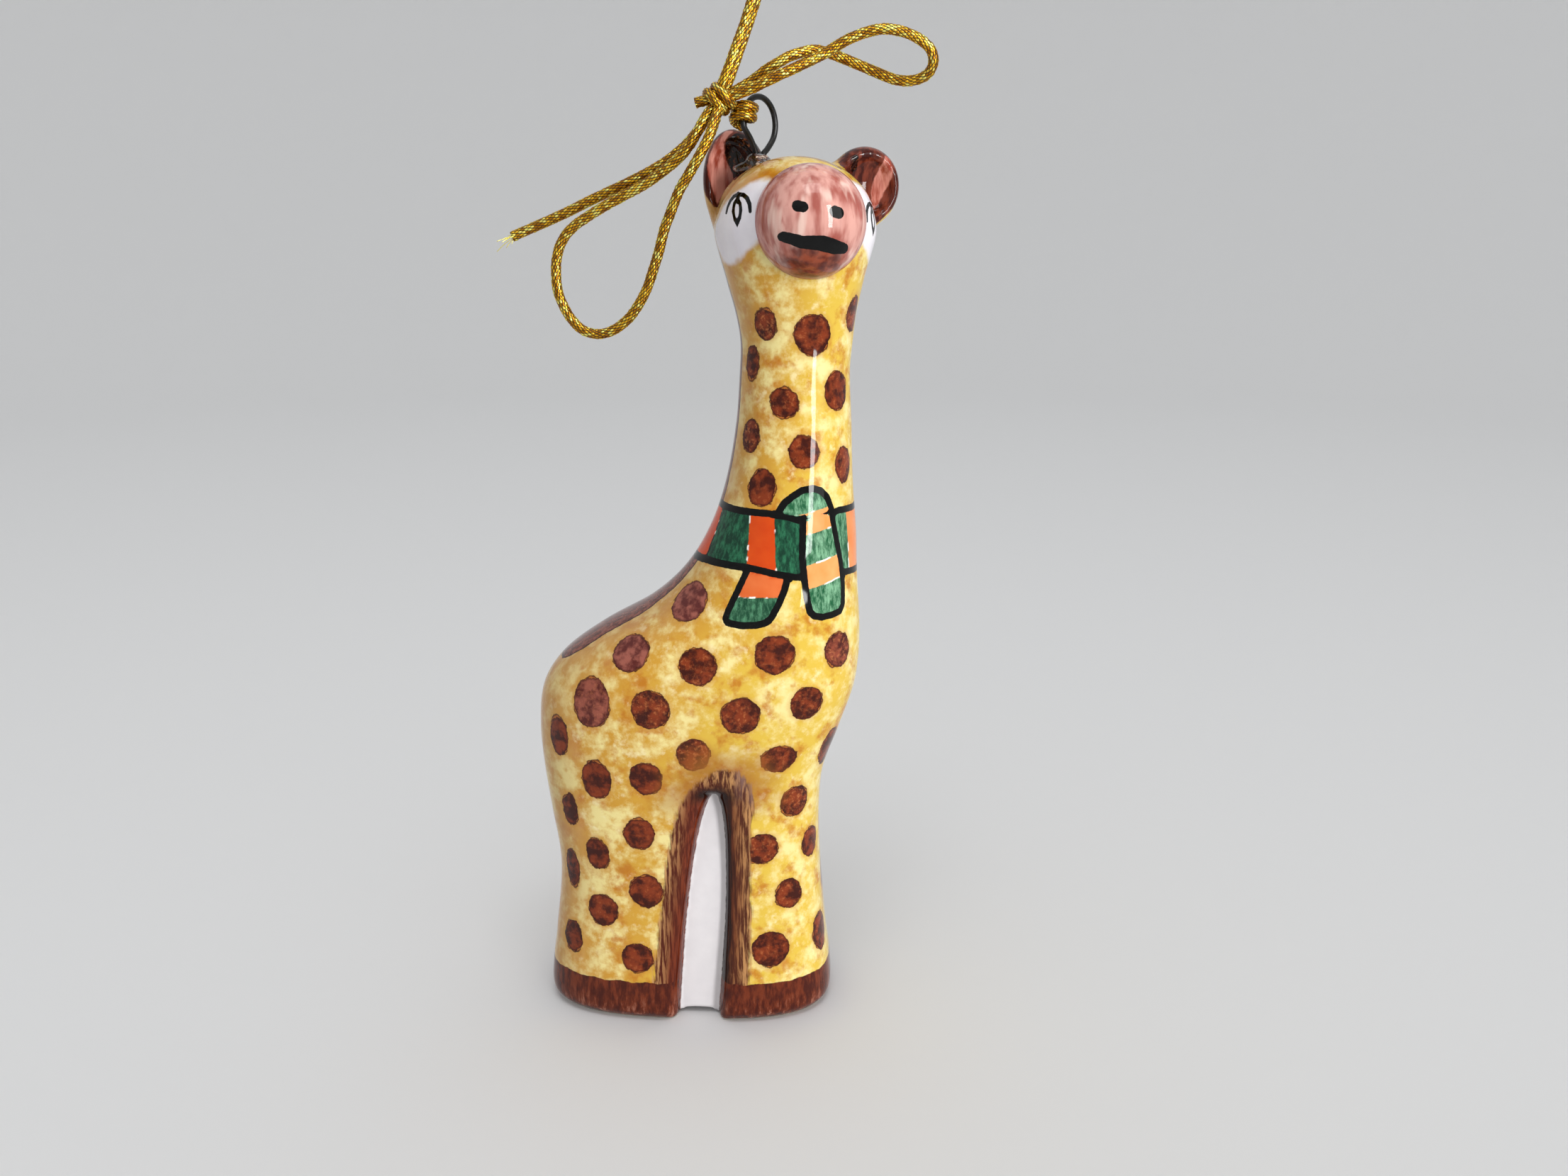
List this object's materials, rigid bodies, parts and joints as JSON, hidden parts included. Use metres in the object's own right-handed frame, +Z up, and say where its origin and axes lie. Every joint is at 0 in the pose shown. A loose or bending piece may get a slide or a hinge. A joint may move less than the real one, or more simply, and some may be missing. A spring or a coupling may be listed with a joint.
{
  "type": "giraffe hanging ornament",
  "caption": "Glazed ceramic giraffe ornament that stands on its feet, with a painted scarf, a wire ring in its head and a gold cord tied in a bow.",
  "frame": {"origin": "on the ground under the middle of the ceramic and its wire ring", "axes": "+X from the rump to the chest, +Z up, -Y toward the side that the face looks to"},
  "size_m": [0.0532, 0.0269, 0.1531],
  "materials": {
    "painted_glaze": "clear gloss glaze over sponged ochre with brown spots, a painted scarf and brown hooves",
    "pink_glaze": "clear gloss glaze over dusty pink with rose brush strokes",
    "black_wire": "satin black oxide",
    "bead_glaze": "high gloss, dark and uneven",
    "gold_braid": "metallic gold braid with dark gaps between its facets"
  },
  "bodies": {
    "ceramic": {"ceramic_body": "painted_glaze", "muzzle": "pink_glaze", "wire_loop": "black_wire", "setting_bead": "bead_glaze"},
    "hitch": {"cord_wrap": "gold_braid"},
    "cord": {"cord_knot": "gold_braid", "cord_hanging_loop": "gold_braid", "cord_bow_right": "gold_braid", "cord_bow_left": "gold_braid", "cord_tail": "gold_braid", "cord_stub": "gold_braid"}
  },
  "joints": [
    {"name": "hitch_slide", "type": "hinge", "parent": "ceramic", "child": "hitch", "pos_m": [0.0067, 0.0011, 0.1217], "axis": [-0.8151, 0.5793, 0], "range_deg": [-3, 50]},
    {"name": "cord_swing", "type": "hinge", "parent": "hitch", "child": "cord", "pos_m": [0.00496, -0.00136, 0.12262], "axis": [0.1694, 0.2383, 0.9563], "range_deg": [-30, 60]}
  ]
}
